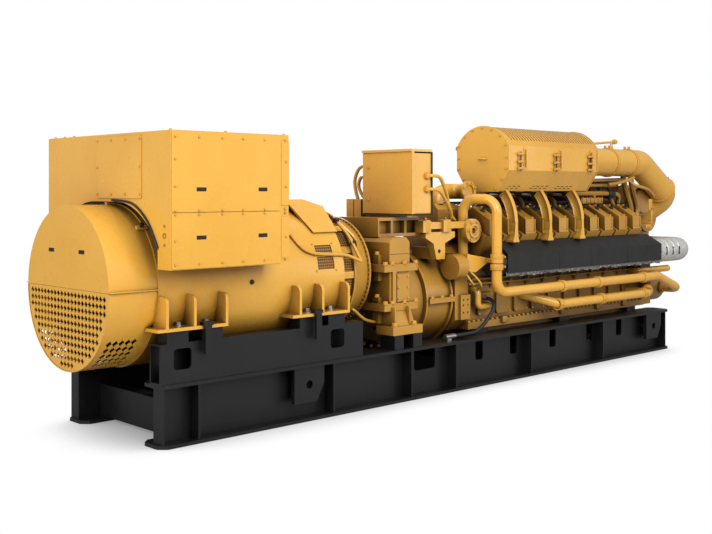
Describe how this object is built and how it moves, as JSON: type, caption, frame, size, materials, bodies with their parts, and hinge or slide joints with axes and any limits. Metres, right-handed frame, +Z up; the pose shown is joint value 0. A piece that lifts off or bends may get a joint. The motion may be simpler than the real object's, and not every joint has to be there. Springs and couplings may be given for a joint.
{
  "type": "gas generator set",
  "caption": "Skid-mounted gas generator set: round alternator with tall terminal box, gearbox, V engine with side air cleaner, exhaust shield and coolant pipes.",
  "frame": {"origin": "on the floor under the middle of the overall length, on the centre line of the base", "axes": "+X from the generator end towards the engine's front end, +Y to the left-hand side of the base, +Z up"},
  "size_m": [8.441, 1.89, 2.615],
  "materials": {
    "yellow_enamel": "satin enamel",
    "black_satin_paint": "satin",
    "exhaust_insulation": "matt foil",
    "black_rubber": "matt",
    "screen_steel": "matt",
    "plated_steel": "satin zinc plate"
  },
  "bodies": {
    "root": {"aftercooler": "yellow_enamel", "air_cleaner_body": "yellow_enamel", "air_cleaner_caps": "yellow_enamel", "air_cleaner_latches": "yellow_enamel", "air_cleaner_lid": "yellow_enamel", "air_cleaner_straps": "yellow_enamel", "air_duct": "yellow_enamel", "air_elbow": "yellow_enamel", "base_cross_members": "black_satin_paint", "base_rails": "black_satin_paint", "control_box": "yellow_enamel", "control_box_lid": "yellow_enamel", "control_box_stand": "yellow_enamel", "control_conduits": "yellow_enamel", "coolant_pipes": "yellow_enamel", "crankcase_doors": "yellow_enamel", "cylinder_block": "yellow_enamel", "cylinder_heads": "yellow_enamel", "drain_fitting": "plated_steel", "drain_hose": "black_rubber", "drive_end_bell": "yellow_enamel", "duct_bands": "plated_steel", "engine_feet": "black_satin_paint", "exhaust_bellows": "exhaust_insulation", "exhaust_manifolds": "exhaust_insulation", "exhaust_shields": "black_satin_paint", "flywheel_guard": "yellow_enamel", "flywheel_housing": "yellow_enamel", "frame_screens": "screen_steel", "front_housing": "yellow_enamel", "gas_inlet": "yellow_enamel", "gas_valve": "yellow_enamel", "gearbox_case": "yellow_enamel", "gearbox_posts": "black_satin_paint", "generator_feet": "yellow_enamel", "generator_frame": "yellow_enamel", "generator_mount_pads": "black_satin_paint", "generator_rails": "black_satin_paint", "hood_lower": "yellow_enamel", "hood_seal": "black_rubber", "hood_upper": "yellow_enamel", "inlet_plenum": "yellow_enamel", "lifting_lugs": "black_satin_paint", "oil_pan": "yellow_enamel", "oil_pipes": "yellow_enamel", "outlet_canopy": "yellow_enamel", "pipe_clamps": "yellow_enamel", "rail_clamps": "black_satin_paint", "rear_side_plates": "yellow_enamel", "riser_bracket": "yellow_enamel", "starter_motor": "yellow_enamel", "terminal_box": "yellow_enamel", "terminal_box_covers": "yellow_enamel", "turbo_bracket": "yellow_enamel", "turbocharger": "yellow_enamel", "valve_covers": "yellow_enamel", "water_pumps": "yellow_enamel"}
  },
  "joints": []
}
